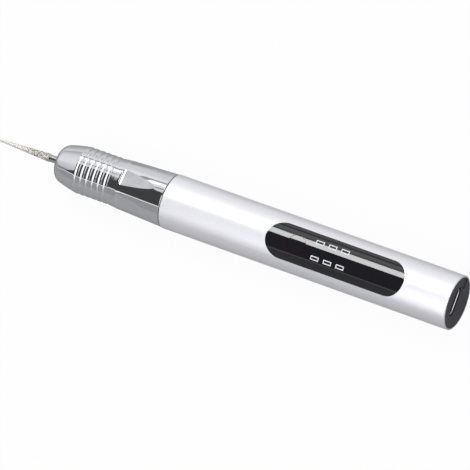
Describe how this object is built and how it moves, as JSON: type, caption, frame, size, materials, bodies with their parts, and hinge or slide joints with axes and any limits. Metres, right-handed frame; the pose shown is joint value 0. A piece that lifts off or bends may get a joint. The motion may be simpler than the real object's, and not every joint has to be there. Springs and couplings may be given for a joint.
{
  "type": "electric engraving pen",
  "caption": "Rechargeable engraving pen: aluminium barrel with button window, screw-on chrome grip, collet-held diamond bur and a charging port in its tail cap.",
  "frame": {"origin": "on the spindle's axis, half way along the straight barrel tube", "axes": "+X along the pen from the bur to the tail cap, +Z out through the middle of the button window, +Y across the window"},
  "size_m": [0.1656, 0.018, 0.018],
  "materials": {
    "anodised_aluminium": "bead-blasted satin silver anodising",
    "bright_chrome": "mirror chrome plating",
    "sealing_rubber": "plain black rubber",
    "turned_aluminium": "fine turned",
    "ground_steel": "ground and polished",
    "turned_brass": "fine turned",
    "diamond_grit": "fine diamond grit in nickel, speckled warm grey",
    "bronze_bush": "sintered bronze",
    "ferrite": "pressed ferrite",
    "laminated_iron": "stacked laminations",
    "enamelled_copper": "enamelled copper wire",
    "bare_copper": "bare copper",
    "carbon": "pressed carbon",
    "white_nylon": "moulded",
    "black_nylon": "moulded, fine grain",
    "cell_case": "nickel-plated can",
    "shrink_sleeve": "shrunk-on film",
    "nickel_strip": "rolled nickel",
    "circuit_board": "glass epoxy with dark green solder mask",
    "chip_resin": "moulded epoxy",
    "ceramic": "fired ceramic",
    "led_resin": "clear resin over phosphor",
    "white_resin": "moulded, opaque white",
    "wire_insulation": "silicone",
    "solder": "bright tin solder",
    "black_window": "polished, almost opaque black",
    "red_light_ring": "dark red translucent",
    "white_ink": "white filled outlines",
    "port_steel": "drawn and plated",
    "cap_plastic": "matte dark grey"
  },
  "bodies": {
    "barrel": {"body_tube": "anodised_aluminium", "nose_mount": "turned_aluminium", "spindle_housing": "ground_steel", "bearing_spacer": "turned_brass", "motor_can": "ground_steel", "motor_end_cap": "white_nylon", "motor_front_bush": "bronze_bush", "motor_rear_bush": "bronze_bush", "motor_magnets": "ferrite", "motor_brushes": "carbon", "motor_terminals": "bare_copper", "motor_damper": "sealing_rubber", "motor_wires": "wire_insulation", "solder_joints": "solder", "chassis": "black_nylon", "battery_cell": "cell_case", "battery_sleeve": "shrink_sleeve", "battery_tabs": "nickel_strip", "main_board": "circuit_board", "board_screws": "ground_steel", "indicator_leds": "led_resin", "button_led": "led_resin", "light_barrier": "white_resin", "control_chip": "chip_resin", "power_inductor": "ferrite", "charge_chip": "chip_resin", "driver_chip": "chip_resin", "board_capacitors": "ceramic", "board_resistors": "chip_resin", "switch_body": "black_nylon", "switch_cover": "port_steel", "window_lens": "black_window", "indicator_marks": "white_ink", "button_light_ring": "red_light_ring", "port_shell": "port_steel", "port_tongue": "black_nylon", "end_cap": "cap_plastic", "front_bearing_outer_ring": "ground_steel", "rear_bearing_outer_ring": "ground_steel"},
    "grip_washer": {"seam_ring": "sealing_rubber"},
    "grip": {"front_grip": "bright_chrome"},
    "spindle": {"collet_chuck": "turned_brass", "chuck_clamp_ring": "ground_steel", "motor_shaft": "ground_steel", "rotor_core": "laminated_iron", "rotor_windings": "enamelled_copper", "commutator": "bare_copper", "front_bearing_inner_ring": "ground_steel", "rear_bearing_inner_ring": "ground_steel"},
    "bur": {"engraving_bur": "ground_steel", "bur_diamond_coat": "diamond_grit"},
    "front_ball_cage": {"front_bearing_balls": "ground_steel", "front_bearing_cage": "turned_brass"},
    "rear_ball_cage": {"rear_bearing_balls": "ground_steel", "rear_bearing_cage": "turned_brass"},
    "button": {"power_button": "black_window", "switch_plunger": "white_nylon"}
  },
  "joints": [
    {"name": "spindle_spin", "type": "hinge", "parent": "barrel", "child": "spindle", "pos_m": [0, 0, 0], "axis": [-1, 0, 0], "continuous": true},
    {"name": "front_cage_spin", "type": "hinge", "parent": "barrel", "child": "front_ball_cage", "pos_m": [0, 0, 0], "axis": [-1, 0, 0], "continuous": true},
    {"name": "rear_cage_spin", "type": "hinge", "parent": "barrel", "child": "rear_ball_cage", "pos_m": [0, 0, 0], "axis": [-1, 0, 0], "continuous": true},
    {"name": "bur_pull", "type": "slide", "parent": "spindle", "child": "bur", "axis": [-1, 0, 0], "range_m": [0, 0.021]},
    {"name": "grip_advance", "type": "slide", "parent": "barrel", "child": "grip_washer", "axis": [-1, 0, 0], "range_m": [0, 0.00402]},
    {"name": "grip_unscrew", "type": "hinge", "parent": "grip_washer", "child": "grip", "pos_m": [0, 0, 0], "axis": [-1, 0, 0], "range_deg": [0, 1440]},
    {"name": "button_press", "type": "slide", "parent": "barrel", "child": "button", "axis": [0, 0, -1], "range_m": [0, 0.00025], "stiffness_N_per_m": 5000}
  ],
  "couplings": [
    {"joint": "front_cage_spin", "follows": "spindle_spin", "ratio": 0.42857},
    {"joint": "rear_cage_spin", "follows": "spindle_spin", "ratio": 0.42857},
    {"joint": "grip_advance", "follows": "grip_unscrew", "m_per_rad": 0.00015915}
  ]
}
